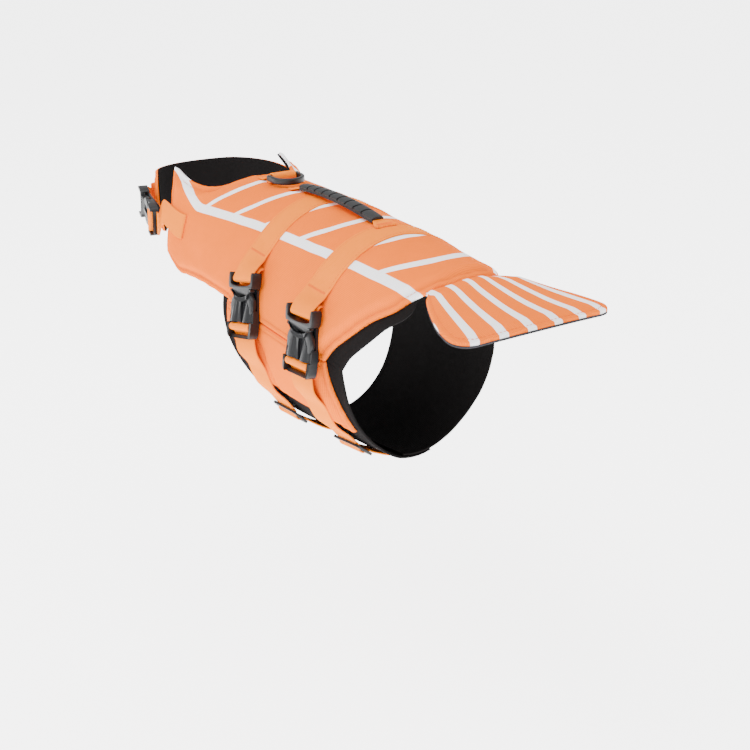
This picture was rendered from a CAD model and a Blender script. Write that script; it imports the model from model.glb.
# %% [markdown]
# A dog swim vest, dressed in Blender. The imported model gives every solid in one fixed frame:
# +Z is up, -Y points to the wearer's head and +X to the wearer's left. This lesson puts cloth,
# webbing and moulded plastic in the place of the plain solids, and never moves one of them.

# %% Load the fixed frame
import math

import bpy
import numpy as np
from mathutils import Matrix, Vector


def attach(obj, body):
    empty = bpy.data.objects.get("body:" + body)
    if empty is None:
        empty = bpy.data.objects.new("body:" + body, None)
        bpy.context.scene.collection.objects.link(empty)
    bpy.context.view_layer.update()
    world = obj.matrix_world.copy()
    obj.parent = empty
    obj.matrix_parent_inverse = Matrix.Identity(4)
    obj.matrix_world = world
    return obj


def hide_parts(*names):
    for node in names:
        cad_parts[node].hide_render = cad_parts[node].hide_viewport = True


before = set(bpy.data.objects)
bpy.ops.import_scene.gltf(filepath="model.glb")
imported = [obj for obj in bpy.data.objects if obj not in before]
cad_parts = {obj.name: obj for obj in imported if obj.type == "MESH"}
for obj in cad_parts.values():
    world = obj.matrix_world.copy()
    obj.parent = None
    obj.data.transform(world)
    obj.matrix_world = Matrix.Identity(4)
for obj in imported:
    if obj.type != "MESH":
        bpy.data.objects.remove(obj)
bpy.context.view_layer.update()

# %% [markdown]
# The camera stands behind the vest on its left, a little above it, as in the photograph.
# It is made first, so that each later step can be looked at from the right side.

# %% Camera
MM = 0.001
CAMERA_SPOT = Vector((0.5008, 0.8419, 0.2867))
CAMERA_TURN = math.radians(148)
CAMERA_RISE = math.radians(24)
CAMERA_LENS = 54.96


def turned_to(thing, direction):
    """Point a camera or a lamp along a direction."""
    thing.rotation_mode = "QUATERNION"
    thing.rotation_quaternion = direction.to_track_quat("-Z", "Y")


def make_camera():
    flat = math.cos(CAMERA_RISE)
    back = Vector((math.sin(CAMERA_TURN) * flat, -math.cos(CAMERA_TURN) * flat,
                   math.sin(CAMERA_RISE)))
    data = bpy.data.cameras.new("view")
    data.lens = CAMERA_LENS
    camera = bpy.data.objects.new("view", data)
    bpy.context.scene.collection.objects.link(camera)
    camera.location = CAMERA_SPOT
    turned_to(camera, -back)
    bpy.context.scene.camera = camera


make_camera()

# %% [markdown]
# Soft studio light comes from large area lamps and a pale world. A large lamp gives soft
# shadow edges, which suit cloth; the lower one on the left keeps the plastic from going flat.

# %% Lights, world and floor
FLOOR_HEIGHT = -0.42
FLOOR_GLOW = 3.6
WORLD_LIGHT = 1.25
LAMPS_AIM = Vector((0, 0, -0.08))
LAMPS = (
    # name, place, size, power
    ("key", (0.9, -0.4, 1.7), 1.2, 42.0),
    ("top", (-0.5, 0.5, 1.9), 1.6, 24.0),
    ("fill", (1.5, 1.4, 0.5), 1.4, 14.0),
)


def make_lights():
    for name, place, size, power in LAMPS:
        data = bpy.data.lights.new(name, "AREA")
        data.size = size
        data.energy = power
        lamp = bpy.data.objects.new(name, data)
        bpy.context.scene.collection.objects.link(lamp)
        lamp.location = place
        turned_to(lamp, LAMPS_AIM - Vector(place))
    world = bpy.data.worlds.new("studio")
    bpy.context.scene.world = world
    world.use_nodes = True
    backdrop = world.node_tree.nodes["Background"]
    backdrop.inputs["Color"].default_value = (1.0, 1.0, 1.0, 1.0)
    backdrop.inputs["Strength"].default_value = WORLD_LIGHT


def make_floor():
    bpy.ops.mesh.primitive_plane_add(size=40, location=(0, 0, FLOOR_HEIGHT))
    floor = bpy.context.object
    floor.name = "floor"
    paint = bpy.data.materials.new("floor_paint")
    paint.use_nodes = True
    shader = paint.node_tree.nodes["Principled BSDF"]
    shader.inputs["Base Color"].default_value = (0.93, 0.93, 0.93, 1.0)
    shader.inputs["Roughness"].default_value = 0.9
    shader.inputs["Emission Color"].default_value = (1.0, 1.0, 1.0, 1.0)
    shader.inputs["Emission Strength"].default_value = FLOOR_GLOW
    floor.data.materials.append(paint)


make_lights()
make_floor()

# %% [markdown]
# The vest is cut in two numbers: y, along the spine, and s, the way down the flank from the
# spine, plus on the left. The worn form is a row of egg-shaped sections, and skin() puts a
# point of the cut on it. All points are handled at once as arrays, which keeps it quick.

# %% The worn form
GAP = 0.3
LINING = 1.2
PAD_BASE = LINING + GAP
PAD = 7.0
PAD_TOP = PAD_BASE + PAD
WEB = 1.5
WEB_SEAT = PAD_TOP - 0.75     # webbing presses the pads down a little
BODY_STRAP = 30.0
SMALL_STRAP = 25.0
EGG = 0.15
TORSO = (
    # y, half width, height of the spine, depth
    (-300.0, 62.0, 62.0, 240.0),
    (-240.0, 80.0, 36.0, 238.0),
    (-178.0, 87.0, -2.0, 196.0),
    (-60.0, 94.0, 0.0, 200.0),
    (60.0, 83.0, 0.0, 190.0),
    (180.0, 70.0, -5.0, 165.0),
    (230.0, 66.0, -8.0, 160.0),
)


def hermite(t, first, last, leave, arrive):
    """A cubic from first to last, with its rise over the whole span at both ends."""
    return ((2 * t**3 - 3 * t**2 + 1) * first + (t**3 - 2 * t**2 + t) * leave
            + (3 * t**2 - 2 * t**3) * last + (t**3 - t**2) * arrive)


def soft_rise(share):
    """From 0 to 1, level at both ends."""
    return share * share * (3 - 2 * share)


def part(share):
    """The share, held between 0 and 1."""
    return np.clip(share, 0, 1)


def bell(x, wide, power=2):
    """1 at 0, falling off on both sides; a high power gives it a flat top."""
    return np.exp(-((x / wide) ** power))


def rounded(share):
    """A quarter circle: from 0 steeply up to 1, level there."""
    return np.sqrt(1 - (1 - part(share)) ** 2)


def smooth(table, column, x):
    """Monotone cubic through one column of a table whose first column is x."""
    xs = np.array([row[0] for row in table], float)
    ys = np.array([row[column] for row in table], float)
    wide, rise = np.diff(xs), np.diff(ys) / np.diff(xs)
    both = rise[:-1] * rise[1:]
    inner = np.zeros(len(both))
    np.divide(2 * both, rise[:-1] + rise[1:], out=inner, where=both > 0)
    slope = np.concatenate([rise[:1], inner, rise[-1:]])
    x = np.clip(np.asarray(x, float), xs[0], xs[-1])
    k = np.clip(np.searchsorted(xs, x, side="right") - 1, 0, len(wide) - 1)
    t = (x - xs[k]) / wide[k]
    return hermite(t, ys[k], ys[k + 1], wide[k] * slope[k], wide[k] * slope[k + 1])


def section_point(y, angle):
    """The inner face at an angle from the spine, plus down the left."""
    half, top, depth = (smooth(TORSO, c, y) for c in (1, 2, 3))
    narrow = 1 - EGG * ((1 - np.cos(angle)) / 2) ** 3
    x = half * np.sin(angle) * narrow
    return np.stack([x, y + 0 * x, top - depth / 2 * (1 - np.cos(angle))], -1)


def unit(vectors):
    return vectors / np.linalg.norm(vectors, axis=-1, keepdims=True)


def outward(y, angle):
    across = section_point(y, angle + 0.01) - section_point(y, angle - 0.01)
    along = section_point(y + 1, angle) - section_point(y - 1, angle)
    return unit(np.cross(across, along))


ROW_STEP = 3.0
ROWS = np.arange(-303.0, 300.0, ROW_STEP)
ANGLES = np.radians(np.arange(-6, 234, 3))
SPINE = 2                # place of angle 0 in that row
REACH = np.arange(0.0, 372.0, 1.5)


def lengths_along(points):
    """How far each point of a line is from its first one, measured along the line."""
    return np.concatenate([[0.0], np.cumsum(np.linalg.norm(np.diff(points, axis=0), axis=1))])


def angle_table():
    """The section angle for each row and each distance from the spine."""
    table = []
    for y in ROWS:
        arcs = lengths_along(section_point(y, ANGLES) + outward(y, ANGLES) * PAD_TOP)
        table.append(np.interp(REACH, arcs - arcs[SPINE], ANGLES))
    return np.array(table)


ANGLE_AT = angle_table()


def angle_at(y, s):
    row = np.clip((np.asarray(y, float) - ROWS[0]) / ROW_STEP, 0, len(ROWS) - 1.001)
    col = np.clip(np.abs(s) / (REACH[1] - REACH[0]), 0, len(REACH) - 1.001)
    r, c = row.astype(int), col.astype(int)
    fr, fc = row - r, col - c
    angle = ((ANGLE_AT[r, c] * (1 - fc) + ANGLE_AT[r, c + 1] * fc) * (1 - fr)
             + (ANGLE_AT[r + 1, c] * (1 - fc) + ANGLE_AT[r + 1, c + 1] * fc) * fr)
    return angle * np.where(np.asarray(s) < 0, -1.0, 1.0)


def skin(y, s, lift):
    """Points at y and s, lifted off the inner face, in millimetres."""
    angle = angle_at(y, s)
    return section_point(y, angle) + outward(y, angle) * np.asarray(lift)[..., None]


print("spine point", np.round(skin(0.0, 0.0, 0.0), 3))

# %% [markdown]
# Hand-cut cloth is never quite even. cloud() is a smooth noise on the cut: random heights on
# a coarse lattice with a fixed seed, joined by soft curves, the same each run.

# %% Soft unevenness
LATTICE = 256


def cloud(y, s, size, seed):
    """Smooth noise from -1 to 1 on the cut, its lumps about size wide."""
    lattice = np.random.default_rng(seed).uniform(-1, 1, (LATTICE + 1, LATTICE + 1))
    a, b = (np.asarray(n) / size + LATTICE // 2 for n in (y, s))
    i, j = (np.floor(n).astype(int) % LATTICE for n in (a, b))
    u, v = (soft_rise(n - np.floor(n)) for n in (a, b))
    return ((lattice[i, j] * (1 - v) + lattice[i, j + 1] * v) * (1 - u)
            + (lattice[i + 1, j] * (1 - v) + lattice[i + 1, j + 1] * v) * u)


CREASE_BOW = 0.0015      # how much a long crease bends aside


def creases(y, s, table):
    """Soft ridges and troughs, one for each row of a table."""
    total = np.zeros(np.shape(y))
    for middle_y, middle_s, turn, length, width, height in table:
        c, w = math.cos(math.radians(turn)), math.sin(math.radians(turn))
        along = (y - middle_y) * c + (s - middle_s) * w
        aside = (s - middle_s) * c - (y - middle_y) * w + CREASE_BOW * along * np.abs(along)
        total += height * bell(aside, width) * bell(along, 0.6 * length)
    return total


# %% [markdown]
# Every piece of cloth starts as a flat grid, as on the cutting table. Solidify gives it a
# second side, and then each point is carried to its place on the worn form. The UV map keeps
# the flat cut in millimetres, so that weave and print lie on the cloth as they would in fact.

# %% A cut piece
NEAR_EDGE = (0.4, 1.0, 1.8, 2.8, 3.9, 5.0, 6.2, 7.6, 9.4, 11.5)


def stations(length, coarse):
    """Shares from 0 to 1, closer together near both ends."""
    near = [e / length for e in NEAR_EDGE]
    count = max(2, round((length - 2 * NEAR_EDGE[-1]) / coarse))
    middle = [near[-1] + (1 - 2 * near[-1]) * i / count for i in range(count + 1)]
    return np.array([0.0, *near[:-1], *middle, *[1 - n for n in reversed(near[:-1])], 1.0])


def pick_only(*pieces):
    bpy.ops.object.select_all(action="DESELECT")
    for piece in pieces:
        bpy.context.view_layer.objects.active = piece
        piece.select_set(True)


def apply_change(piece, kind, **settings):
    """Add a modifier to a piece, set it up and apply it."""
    pick_only(piece)
    change = piece.modifiers.new(kind.lower(), kind)
    for key, value in settings.items():
        setattr(change, key, value)
    bpy.ops.object.modifier_apply(modifier=change.name)


def write_uv(mesh, layer, values):
    """Give a UV layer one pair for each point of the mesh."""
    corners = np.zeros(len(mesh.loops), int)
    mesh.loops.foreach_get("vertex_index", corners)
    layer.data.foreach_set("uv", values[corners].ravel())


def cut_piece(name, across, along, place):
    """A grid with two sides; place(u, v, low) gives its points and its cut in millimetres."""
    pick_only()
    bpy.ops.mesh.primitive_grid_add(x_subdivisions=len(across) - 1,
                                    y_subdivisions=len(along) - 1, size=1)
    piece = bpy.context.object
    piece.name = piece.data.name = name
    apply_change(piece, "SOLIDIFY", thickness=0.1, offset=-1)
    mesh = piece.data
    flat = np.zeros(len(mesh.vertices) * 3)
    mesh.vertices.foreach_get("co", flat)
    flat = flat.reshape(-1, 3)
    u = np.asarray(across)[np.rint((flat[:, 0] + 0.5) * (len(across) - 1)).astype(int)]
    v = np.asarray(along)[np.rint((flat[:, 1] + 0.5) * (len(along) - 1)).astype(int)]
    points, cut = place(u, v, flat[:, 2] < -0.05)
    mesh.vertices.foreach_set("co", (points * MM).ravel())
    write_uv(mesh, mesh.uv_layers.active, cut)
    mesh.update()
    mesh.shade_smooth()
    return piece, points, cut


def edge_gap(y, s, border):
    """Distance of each point of the cut from the nearest point of a border."""
    near = np.full(np.shape(y), 1e9)
    for by, bs in border:
        near = np.minimum(near, np.hypot(y - by, s - bs))
    return near


def border_of(place, steps=320):
    """Points round the edge of a piece, in order, on its cut."""
    t = np.linspace(0, 1, steps, endpoint=False)
    zero, one = np.zeros(steps), np.ones(steps)
    sides = [place(t, zero), place(one, t), place(1 - t, one), place(zero, 1 - t)]
    return np.concatenate([np.stack(side, -1) for side in sides])


# %% [markdown]
# Materials come before the pieces, so that each piece gets its finish as it is made. Small
# helpers add a node and join its sockets in one line, because woven cloth takes many nodes.

# %% Node helpers
def feed(tree, node, inputs):
    """Inputs are pairs of a socket's name or number and a value or another node's socket."""
    for key, value in inputs:
        if isinstance(value, bpy.types.NodeSocket):
            tree.links.new(value, node.inputs[key])
        else:
            node.inputs[key].default_value = value


def put(tree, kind, inputs=(), **settings):
    """Add a node, set it up and feed it."""
    made = tree.nodes.new(kind)
    for key, value in settings.items():
        setattr(made, key, value)
    feed(tree, made, inputs)
    return made


def new_material(name):
    material = bpy.data.materials.new(name)
    material.use_nodes = True
    return material, material.node_tree, material.node_tree.nodes["Principled BSDF"]


def calc(tree, operation, *values, clamp=False):
    made = put(tree, "ShaderNodeMath", list(enumerate(values)), operation=operation)
    made.use_clamp = clamp
    return made.outputs[0]


def mixed(tree, share, first, second, blend="MIX"):
    mix = put(tree, "ShaderNodeMix", [(0, share), (6, first), (7, second)],
              data_type="RGBA", blend_type=blend)
    return mix.outputs[2]


def tinted(tree, colour, value):
    """A colour made darker or lighter by a value."""
    return mixed(tree, 1.0, colour, value, "MULTIPLY")


def noise(tree, place, scale, detail):
    made = put(tree, "ShaderNodeTexNoise",
               [("Vector", place), ("Scale", scale), ("Detail", detail)])
    return made.outputs[0]


def new_group(name, ins, outs):
    group = bpy.data.node_groups.new(name, "ShaderNodeTree")
    for label, kind in ins:
        group.interface.new_socket(label, in_out="INPUT", socket_type=kind)
    for label, kind in outs:
        group.interface.new_socket(label, in_out="OUTPUT", socket_type=kind)
    return group, group.nodes.new("NodeGroupInput"), group.nodes.new("NodeGroupOutput")


# %% [markdown]
# Plain weave is one yarn over, one under. On the flat cut, a checker of cells one yarn wide
# says which yarn is on top, and each yarn is round across and arched along. The group gives
# that height, for the bump, and a shade that is darker down in the gaps.

# %% Weave, webbing and wear, shared by the materials
CHEVRON_WIDE = 2.5
RIB_WIDE = 1.15
YARN_WIDE = 1.25


def make_weave():
    group, start, end = new_group(
        "plain weave", [("Cut", "NodeSocketVector"), ("Pitch", "NodeSocketFloat")],
        [("Height", "NodeSocketFloat"), ("Shade", "NodeSocketFloat")])
    apart = put(group, "ShaderNodeSeparateXYZ", [(0, start.outputs["Cut"])])
    u, v = (calc(group, "DIVIDE", apart.outputs[i], start.outputs["Pitch"]) for i in (0, 1))
    cells = calc(group, "ADD", calc(group, "FLOOR", u), calc(group, "FLOOR", v))
    over = calc(group, "PINGPONG", cells, 1.0)
    round_u, round_v = (
        calc(group, "SINE", calc(group, "MULTIPLY", calc(group, "FRACT", w), math.pi))
        for w in (u, v))
    warp = calc(group, "MULTIPLY", round_u, calc(group, "MULTIPLY_ADD", round_v, 0.55, 0.45))
    weft = calc(group, "MULTIPLY", round_v, calc(group, "MULTIPLY_ADD", round_u, 0.55, 0.45))
    height = calc(group, "ADD", calc(group, "MULTIPLY", warp, over),
                  calc(group, "MULTIPLY", weft, calc(group, "SUBTRACT", 1.0, over)))
    group.links.new(height, end.inputs["Height"])
    group.links.new(calc(group, "MULTIPLY_ADD", height, 0.26, 0.8), end.inputs["Shade"])
    return group


def make_ribbing():
    """Flat webbing: yarns in small chevrons across the band, dense at its two edges."""
    group, start, end = new_group(
        "webbing ribs", [("Cut", "NodeSocketVector")],
        [("Height", "NodeSocketFloat"), ("Shade", "NodeSocketFloat")])
    apart = put(group, "ShaderNodeSeparateXYZ", [(0, start.outputs["Cut"])])
    zigzag = calc(group, "PINGPONG", apart.outputs[0], CHEVRON_WIDE)
    along = calc(group, "MULTIPLY_ADD", zigzag, 0.45, apart.outputs[1])
    rib, yarn = (
        calc(group, "ABSOLUTE", calc(group, "SINE", calc(group, "MULTIPLY", where, math.pi / wide)))
        for where, wide in ((along, RIB_WIDE), (apart.outputs[0], YARN_WIDE)))
    height = calc(group, "MULTIPLY", rib, calc(group, "MULTIPLY_ADD", yarn, 0.4, 0.6))
    group.links.new(height, end.inputs["Height"])
    group.links.new(calc(group, "MULTIPLY_ADD", height, 0.22, 0.82), end.inputs["Shade"])
    return group


def make_handling():
    """Slow and fine unevenness of colour that handling and dyeing leave, near 1."""
    group, start, end = new_group(
        "uneven dye", [("Place", "NodeSocketVector"), ("Amount", "NodeSocketFloat")],
        [("Shade", "NodeSocketFloat")])
    slow, fine = (noise(group, start.outputs[0], scale, detail)
                  for scale, detail in ((22.0, 3.0), (520.0, 2.0)))
    both = calc(group, "ADD", slow, calc(group, "MULTIPLY", fine, 0.6))
    group.links.new(calc(group, "MULTIPLY_ADD", calc(group, "SUBTRACT", both, 0.8),
                         start.outputs[1], 1.0), end.inputs["Shade"])
    return group


WEAVE = make_weave()
RIBBING = make_ribbing()
HANDLING = make_handling()

# %% [markdown]
# The white print is a plain fin of this lesson's own: a band down each flank, arched ribs
# across the back at an even pitch, and straight rays on the tail. It is drawn by distance on
# the flat cut, so its edges stay crisp at any size. Ink lies on the yarns and is a little smoother.

# %% The print
BAND_FRONT = (-235.0, 77.0)
BAND_SLOPE = -0.078
BAND_HALF = 4.5
RIB_PITCH = 57.0
RIB_SWEEP = 30.0
RIB_HALF = 4.3
RAY_COUNT = 6
RAY_HALF = 0.1625        # half a ray's width, in pitches from ray to ray
RAY_EDGE = 0.0075
RAY_ROOT = (172.0, 40.0)     # y where the rays start, half the fan's width there
RAY_SPREAD = 0.33            # growth of that half width for each millimetre back


def soft_step(tree, distance, half, edge=0.25):
    """1 within half of a line, 0 beyond, with a thin soft edge."""
    ramp = put(tree, "ShaderNodeMapRange", [(0, distance), (1, half + edge), (2, half - edge)])
    return ramp.outputs[0]


def off_line(tree, value, line):
    return calc(tree, "ABSOLUTE", calc(tree, "SUBTRACT", value, line))


def flank_print(tree, cut):
    """White where the band or a rib runs; cut is (s, y) in millimetres."""
    apart = put(tree, "ShaderNodeSeparateXYZ", [(0, cut)])
    side, y = calc(tree, "ABSOLUTE", apart.outputs[0]), apart.outputs[1]
    back = calc(tree, "SUBTRACT", y, BAND_FRONT[0])
    middle = calc(tree, "MULTIPLY_ADD", back, BAND_SLOPE, BAND_FRONT[1])
    band = soft_step(tree, off_line(tree, side, middle), BAND_HALF)
    share = calc(tree, "DIVIDE", side, middle, clamp=True)
    arch = calc(tree, "MULTIPLY", calc(tree, "POWER", share, 2.0), RIB_SWEEP)
    turn = calc(tree, "DIVIDE", calc(tree, "ADD", y, arch), RIB_PITCH)
    off = off_line(tree, calc(tree, "FRACT", turn), 0.5)
    rib = soft_step(tree, calc(tree, "MULTIPLY", off, RIB_PITCH), RIB_HALF)
    inside = calc(tree, "LESS_THAN", side, middle)
    return calc(tree, "MAXIMUM", band, calc(tree, "MULTIPLY", rib, inside))


def tail_print(tree, cut):
    """Straight rays that fan out at even steps; cut is (ray number, along)."""
    apart = put(tree, "ShaderNodeSeparateXYZ", [(0, cut)])
    off = off_line(tree, calc(tree, "FRACT", apart.outputs[0]), 0.5)
    return soft_step(tree, off, RAY_HALF, RAY_EDGE)


# %% [markdown]
# One function makes every cloth. The seam attribute, which a piece may carry, is 1 on a line
# of stitching and fades beside it: the cloth is darker there, where it dips out of the light.

# %% Cloth materials
WHITE_INK = (0.95, 0.95, 0.97, 1.0)
INK_SMOOTHER = 0.18
DYE_UNEVEN = 0.16
SEAM_SHADE = 0.16


def cloth(name, colour, pitch=1.3, relief=0.2, rough=0.85, sheen=0.1, drawn=None, ribbed=False):
    """Pitch and relief are the yarns' width and height in millimetres."""
    material, tree, shader = new_material(name)
    cut = put(tree, "ShaderNodeUVMap", uv_map="UVMap").outputs[0]
    fibres = [("Cut", cut)] if ribbed else [("Cut", cut), ("Pitch", pitch)]
    weave = put(tree, "ShaderNodeGroup", fibres, node_tree=RIBBING if ribbed else WEAVE)
    place = put(tree, "ShaderNodeTexCoord").outputs["Object"]
    dye = put(tree, "ShaderNodeGroup", [(0, place), (1, DYE_UNEVEN)], node_tree=HANDLING)
    seam = put(tree, "ShaderNodeAttribute", attribute_name="seam").outputs["Fac"]
    shade = calc(tree, "MULTIPLY", weave.outputs["Shade"], dye.outputs[0])
    shade = calc(tree, "MULTIPLY", shade, calc(tree, "MULTIPLY_ADD", seam, -SEAM_SHADE, 1.0))
    ground = (*colour, 1.0)
    if drawn:
        mask = drawn(tree, put(tree, "ShaderNodeUVMap", uv_map="print").outputs[0])
        ground = mixed(tree, mask, ground, WHITE_INK)
        rough = calc(tree, "MULTIPLY_ADD", mask, -INK_SMOOTHER, rough)
    bump = put(tree, "ShaderNodeBump", [("Height", weave.outputs["Height"]),
                                        ("Distance", relief * MM), ("Strength", 1.0)])
    feed(tree, shader, [
        ("Base Color", tinted(tree, ground, shade)), ("Roughness", rough),
        ("Normal", bump.outputs[0]), ("Specular IOR Level", 0.03), ("Sheen Weight", sheen),
        ("Sheen Tint", (*colour, 1.0)), ("Sheen Roughness", 0.45)])
    return material


def moulded(name, colour, rough, grain, relief):
    """Moulded plastic: even colour, a fine grain in its polish and its surface."""
    material, tree, shader = new_material(name)
    place = put(tree, "ShaderNodeTexCoord").outputs["Object"]
    speck, cloudy = noise(tree, place, grain, 3.0), noise(tree, place, 60.0, 4.0)
    polish = calc(tree, "MULTIPLY_ADD", cloudy, 0.22, rough - 0.11)
    tone = calc(tree, "MULTIPLY_ADD", cloudy, 0.3, 0.85)
    bump = put(tree, "ShaderNodeBump", [("Height", speck), ("Distance", relief * MM)])
    feed(tree, shader, [
        ("Base Color", tinted(tree, (*colour, 1.0), tone)),
        ("Roughness", calc(tree, "MULTIPLY_ADD", speck, 0.1, polish)),
        ("Specular IOR Level", 0.3), ("Normal", bump.outputs[0])])
    return material


ORANGE = (0.9, 0.158, 0.003)
ORANGE_CLOTH = cloth("orange_oxford", ORANGE)
PRINTED_CLOTH = cloth("orange_oxford_printed", ORANGE, drawn=flank_print)
TAIL_CLOTH = cloth("orange_oxford_rays", ORANGE, drawn=tail_print)
ORANGE_WEBBING = cloth("orange_webbing_ribbed", (0.93, 0.215, 0.005), relief=0.25, rough=0.7,
                       ribbed=True)
BLACK_KNIT = cloth("black_knit", (0.009, 0.008, 0.008), rough=0.9, sheen=0.03)
GREY_KNIT = cloth("grey_backing", (0.035, 0.034, 0.038), pitch=0.9, relief=0.12, sheen=0.05)
ORANGE_THREAD = cloth("orange_thread", (0.82, 0.13, 0.01), pitch=0.4, relief=0.05, rough=0.55)
BLACK_PLASTIC = moulded("black_acetal", (0.006, 0.0065, 0.0075), 0.36, 2200.0, 0.02)
GRIP_RUBBER = moulded("grip_rubber_black", (0.007, 0.0072, 0.008), 0.5, 1500.0, 0.05)
print("materials", len(bpy.data.materials))


# %% Giving a piece its finish and its body
def dress(piece, finish, nodes=(), body="root"):
    piece.data.materials.clear()
    piece.data.materials.append(finish)
    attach(piece, body)
    if nodes:
        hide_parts(*nodes)


def add_seam(piece, values):
    layer = piece.data.attributes.new("seam", "FLOAT", "POINT")
    layer.data.foreach_set("value", np.asarray(values, np.float32))


def add_print(piece, art):
    """A second UV map for a drawn pattern, one pair for each point."""
    write_uv(piece.data, piece.data.uv_layers.new(name="print", do_init=False), art)


# %% [markdown]
# The saddle is foam between orange cloth and black lining, sewn shut all round. The cloth
# rolls over at the edge, dips at the line of stitches and rises to the foam's full height.
# Cloth simulation would blur so thin a pad, so its fullness is worked out from the distance
# to the edge, with puckers along the seam and creases placed by hand.

# %% The pad's fullness
SEAM = 5.2               # from the edge to the stitches
EDGE_ROLL = 3.2          # height of the rolled edge outside them
SEWN_HIGH = 3.6          # height right at a seam between two pads


def fullness(gap, full):
    roll = EDGE_ROLL * rounded(gap / 1.8)
    dip = -0.9 * bell(gap - SEAM, 1.1)
    return roll + dip + (full - EDGE_ROLL) * soft_rise(part((gap - SEAM) / 7.0))


def butted(gap):
    """Height of a pad at an edge that is sewn to its neighbour, almost full to the seam."""
    return SEWN_HIGH + (PAD - SEWN_HIGH) * rounded(gap / 2.4)


def seam_mask(gap):
    return bell(gap - SEAM, 1.6)


def puckers(y, s, gap, seed):
    """The little gathers that a tight seam pulls into cloth."""
    near = bell(np.maximum(gap - SEAM, 0), 5.0) * part(gap / 2.0)
    return 0.45 * near * cloud(y, s, 5.5, seed)


# %% Where the straps lie
STRAPS = {
    # s from the right of the belly to the left of it, y of the strap's middle
    "front": ((-320.0, -4.0), (-200.0, -14.0), (-130.0, -26.0), (-60.0, -40.0), (0.0, -49.0),
              (30.0, -44.0), (60.0, -38.0), (88.0, -32.0), (98.0, -27.0), (165.0, -9.0),
              (320.0, -4.0)),
    "rear": ((-320.0, 77.0), (-150.0, 73.0), (-60.0, 66.5), (0.0, 66.5), (97.0, 67.0),
             (165.0, 76.0), (320.0, 77.0)),
}
BARTACK = 88.0
LOW_EDGE = 138.5         # s of the seam between saddle and girth flap
LANDING = 172.0          # s where a strap lies on the pads again, below its buckle
DENT_HALF = 16.2
DENT_EASE = 14.0
SEWN_DOWN = (
    # y and s of both ends of webbing that is sewn flat on the saddle, half its width
    (-158.0, 0.0, -131.0, 0.0, 12.5), (-99.0, 0.0, -90.0, 0.0, 10.0),
    (-190.5, 99.0, -233.0, 119.0, 12.5),
)


def strap_press(y, s):
    """1 under webbing that lies tight on the pads, 0 beside it."""
    pressed = np.zeros(np.shape(y))
    for route in STRAPS.values():
        middle = smooth(route, 1, s)
        held = part((BARTACK + 8 - s) / DENT_EASE) + part((s - LANDING) / DENT_EASE)
        pressed = np.maximum(pressed, held * bell(y - middle, DENT_HALF, 8))
    for y0, s0, y1, s1, half in SEWN_DOWN:
        long = math.hypot(y1 - y0, s1 - s0)
        t = part(((y - y0) * (y1 - y0) + (s - s0) * (s1 - s0)) / long**2)
        off = np.hypot(y - y0 - t * (y1 - y0), s - s0 - t * (s1 - s0))
        pressed = np.maximum(pressed, bell(off, half + 1.0, 8))
    return pressed


# %% The saddle
SADDLE_FRONT = (
    # share of the way down the side, y
    (0.0, -178.5), (0.12, -180.5), (0.22, -186.0), (0.32, -197.0), (0.42, -215.0),
    (0.48, -232.0), (0.515, -250.0), (0.60, -241.0), (0.68, -235.0), (0.80, -229.5), (1.0, -227.0),
)
TIP = 0.515
SADDLE_REAR = (
    # share of the way down the side, y
    (0.0, 180.0), (0.12, 178.0), (0.22, 172.0), (0.30, 165.5), (0.38, 160.0),
    (0.46, 154.5), (0.60, 136.0), (0.75, 119.0), (0.90, 101.0), (1.0, 92.0),
)
SADDLE_LOW = (
    # share of the way back, s of the low edge
    (0.0, 156.0), (0.05, 151.0), (0.12, 145.0), (0.22, 140.5), (0.35, 138.5), (1.0, 138.5),
)
SADDLE_CREASES = (
    # y, s, turn, length, width, height
    (-150.0, 118.0, 20.0, 90.0, 9.0, -0.9),
    (-175.0, 96.0, 34.0, 60.0, 7.0, -0.7),
    (-110.0, 126.0, 8.0, 70.0, 8.0, 0.8),
    (-205.0, 60.0, 50.0, 55.0, 7.0, -0.8),
    (-200.0, -58.0, -48.0, 60.0, 7.5, -0.8),
    (-160.0, -112.0, -22.0, 90.0, 9.0, -0.9),
    (10.0, 112.0, 74.0, 60.0, 7.0, -1.0),
    (24.0, 60.0, 82.0, 80.0, 8.0, -0.7),
    (-96.0, 60.0, 70.0, 60.0, 8.0, -0.6),
    (112.0, 60.0, 66.0, 70.0, 9.0, -0.9),
    (122.0, 88.0, 48.0, 50.0, 7.0, 0.7),
    (118.0, -66.0, -62.0, 70.0, 9.0, -0.9),
    (20.0, -90.0, -80.0, 90.0, 9.0, -0.8),
    (-90.0, -86.0, -74.0, 80.0, 9.0, -0.7),
    (145.0, 20.0, 88.0, 60.0, 8.0, -0.8),
)


def saddle_place(across, back):
    side = 2 * across - 1
    share = np.abs(side)
    y = (1 - back) * smooth(SADDLE_FRONT, 1, share) + back * smooth(SADDLE_REAR, 1, share)
    return y, side * smooth(SADDLE_LOW, 1, back)


def saddle_columns():
    """Shares across, with one on each tip of the neckline and more near the low edges."""
    inner = np.linspace(0, TIP, 33)
    low = stations(150.0, 2.4)
    outer = TIP + (1 - TIP) * low[low > 0.5] * 2 - (1 - TIP)
    outer = np.concatenate([np.linspace(TIP, outer[0], 16)[:-1], outer])
    half = np.concatenate([inner[:-1], outer])
    return np.concatenate([0.5 - half[:0:-1] / 2, 0.5 + half / 2])


SADDLE_BORDER = border_of(saddle_place)
ROLL_Y = 171.0           # middle of the padded roll before the tail fin
ROLL_HALF = 46.0
FLAP_SEAM = (-60.0, 89.0)     # y of both ends of the seam between saddle and flap
SEWN_REACH = 26.0        # how far from that seam a pad still counts as sewn
SEWN_EASE = 8.0


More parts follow.
